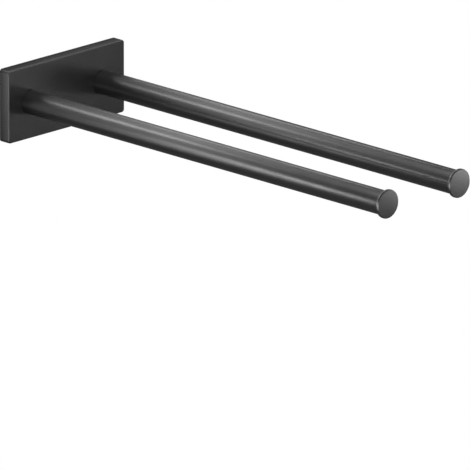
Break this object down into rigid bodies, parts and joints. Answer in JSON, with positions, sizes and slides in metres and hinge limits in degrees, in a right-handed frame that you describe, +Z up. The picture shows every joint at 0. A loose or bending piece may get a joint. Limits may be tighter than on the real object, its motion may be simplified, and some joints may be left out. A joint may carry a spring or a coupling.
{
  "type": "double towel bar",
  "caption": "Wall-mounted double towel bar: fixed round arms with flanged end caps stand straight out from one flat rectangular wall plate; satin black metal.",
  "frame": {"origin": "middle of the back of the wall plate, on the wall", "axes": "+Z up, +Y into the wall with the arms standing out along -Y, +X to the right for a person who faces the wall"},
  "size_m": [0.131, 0.416, 0.061],
  "materials": {
    "black_coat": "satin black powder coat",
    "stainless_sheet": "brushed stainless steel sheet",
    "plated_steel": "bright zinc plating",
    "turned_brass": "turned"
  },
  "bodies": {
    "root": {"cover_plate": "black_coat", "wall_bracket": "stainless_sheet", "left_bar_tube": "black_coat", "left_end_cap": "black_coat", "left_bar_insert": "turned_brass", "left_bar_screw": "plated_steel", "left_flat_washer": "plated_steel", "left_spring_washer": "plated_steel", "left_grub_screw": "plated_steel", "right_bar_tube": "black_coat", "right_end_cap": "black_coat", "right_bar_insert": "turned_brass", "right_bar_screw": "plated_steel", "right_flat_washer": "plated_steel", "right_spring_washer": "plated_steel", "right_grub_screw": "plated_steel"}
  },
  "joints": []
}
